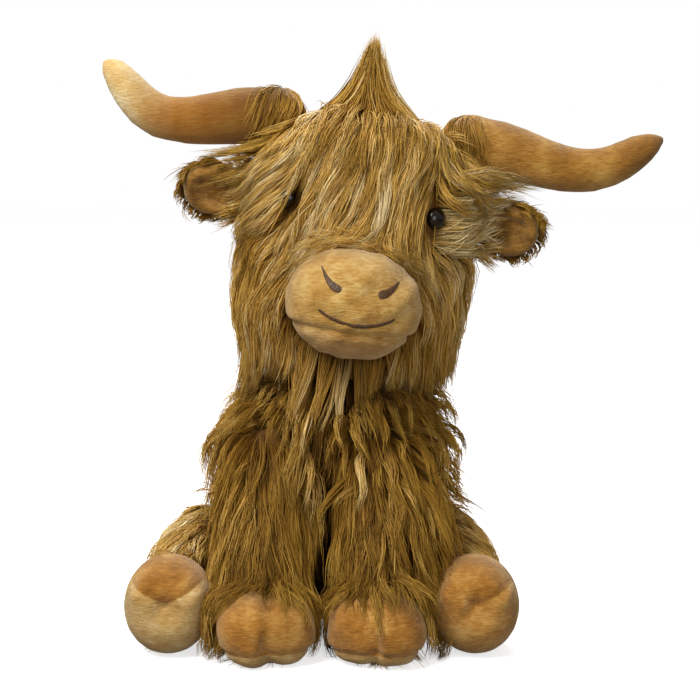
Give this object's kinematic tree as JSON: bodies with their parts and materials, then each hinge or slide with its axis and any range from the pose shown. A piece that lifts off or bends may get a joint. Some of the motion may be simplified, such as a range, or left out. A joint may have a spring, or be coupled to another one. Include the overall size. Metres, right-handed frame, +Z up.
{
  "type": "plush cow",
  "caption": "Seated long-haired plush cow with stuffed horns, folded ears, short-pile muzzle and cloven hooves; head, ears, horns, legs and tail move on soft seams.",
  "frame": {"origin": "on the flat base panel's underside, on the toy's middle line; the toy rests on z = 0", "axes": "+Z up; the toy faces -Y; its own left side is +X"},
  "size_m": [0.329, 0.232, 0.345],
  "materials": {
    "long_pile": "long shaggy pile, soft and matte with a silky sheen on the hair",
    "short_pile": "short brushed pile, matte",
    "orange_pile": "short brushed pile, matte, darker",
    "horn_pile": "short brushed pile with a soft sheen",
    "thread": "satin-stitched embroidery thread",
    "cotton": "plain woven cotton, matte",
    "fibre": "loose white polyester fibre",
    "eye_plastic": "polished",
    "washer_plastic": "moulded, as it left the mould"
  },
  "bodies": {
    "torso": {"torso_skin": "long_pile", "torso_stuffing": "fibre", "pellet_pouch": "cotton", "base_panel": "orange_pile"},
    "neck": {"neck_seam_band": "cotton"},
    "head": {"head_skin": "long_pile", "head_stuffing": "fibre", "crown_lock": "long_pile", "eye_left": "eye_plastic", "eye_right": "eye_plastic", "eye_washer_left": "washer_plastic", "eye_washer_right": "washer_plastic", "muzzle_upper": "short_pile", "muzzle_chin": "short_pile", "muzzle_stuffing": "fibre", "nostril_left": "thread", "nostril_right": "thread", "mouth_stitch": "thread"},
    "horn_left": {"horn_left_skin": "horn_pile", "horn_left_stuffing": "fibre"},
    "ear_left": {"ear_left_outer": "long_pile", "ear_left_lining": "orange_pile"},
    "front_leg_left": {"front_leg_left_sleeve": "long_pile", "front_leg_left_stuffing": "fibre", "front_hoof_left_upper": "orange_pile", "front_hoof_left_sole": "short_pile"},
    "rear_leg_left": {"rear_leg_left_sleeve": "long_pile", "rear_leg_left_stuffing": "fibre", "rear_hoof_left_cap": "orange_pile", "rear_hoof_left_sole": "short_pile"},
    "horn_right": {"horn_right_skin": "horn_pile", "horn_right_stuffing": "fibre"},
    "ear_right": {"ear_right_outer": "long_pile", "ear_right_lining": "orange_pile"},
    "front_leg_right": {"front_leg_right_sleeve": "long_pile", "front_leg_right_stuffing": "fibre", "front_hoof_right_upper": "orange_pile", "front_hoof_right_sole": "short_pile"},
    "rear_leg_right": {"rear_leg_right_sleeve": "long_pile", "rear_leg_right_stuffing": "fibre", "rear_hoof_right_cap": "orange_pile", "rear_hoof_right_sole": "short_pile"},
    "tail": {"tail_cord": "long_pile", "tail_tuft": "long_pile"}
  },
  "joints": [
    {"name": "neck_nod", "type": "hinge", "parent": "torso", "child": "neck", "pos_m": [0.01, -0.005, 0.155], "axis": [1, 0, 0], "range_deg": [-6, 12], "stiffness_Nm_per_rad": 3},
    {"name": "head_tilt", "type": "hinge", "parent": "neck", "child": "head", "pos_m": [0.01, -0.005, 0.155], "axis": [0, 1, 0], "range_deg": [-18, 6], "stiffness_Nm_per_rad": 3},
    {"name": "horn_left_flex", "type": "hinge", "parent": "head", "child": "horn_left", "pos_m": [0.08678, -0.002, 0.28458], "axis": [0, 1, 0], "range_deg": [-8, 4], "stiffness_Nm_per_rad": 0.6},
    {"name": "ear_left_flap", "type": "hinge", "parent": "head", "child": "ear_left", "pos_m": [0.09297, -0.001, 0.23523], "axis": [0, 1, 0], "range_deg": [-12, 20], "stiffness_Nm_per_rad": 0.08},
    {"name": "front_leg_left_swing", "type": "hinge", "parent": "torso", "child": "front_leg_left", "pos_m": [0.0325, -0.036, 0.1], "axis": [-1, 0, 0], "range_deg": [0, 40], "stiffness_Nm_per_rad": 0.6},
    {"name": "rear_leg_left_swing", "type": "hinge", "parent": "torso", "child": "rear_leg_left", "pos_m": [0.07, 0.028, 0.032], "axis": [-1, 0, 0], "range_deg": [0, 40], "stiffness_Nm_per_rad": 0.6},
    {"name": "horn_right_flex", "type": "hinge", "parent": "head", "child": "horn_right", "pos_m": [-0.02809, -0.002, 0.30072], "axis": [0, 1, 0], "range_deg": [-4, 8], "stiffness_Nm_per_rad": 0.6},
    {"name": "ear_right_flap", "type": "hinge", "parent": "head", "child": "ear_right", "pos_m": [-0.04764, -0.001, 0.255], "axis": [0, 1, 0], "range_deg": [-20, 12], "stiffness_Nm_per_rad": 0.08},
    {"name": "front_leg_right_swing", "type": "hinge", "parent": "torso", "child": "front_leg_right", "pos_m": [-0.0325, -0.036, 0.1], "axis": [-1, 0, 0], "range_deg": [0, 40], "stiffness_Nm_per_rad": 0.6},
    {"name": "rear_leg_right_swing", "type": "hinge", "parent": "torso", "child": "rear_leg_right", "pos_m": [-0.07, 0.028, 0.032], "axis": [-1, 0, 0], "range_deg": [0, 40], "stiffness_Nm_per_rad": 0.6},
    {"name": "tail_wag", "type": "hinge", "parent": "torso", "child": "tail", "pos_m": [0, 0.0725, 0.066], "axis": [0, 1, 0], "range_deg": [-35, 35]}
  ]
}
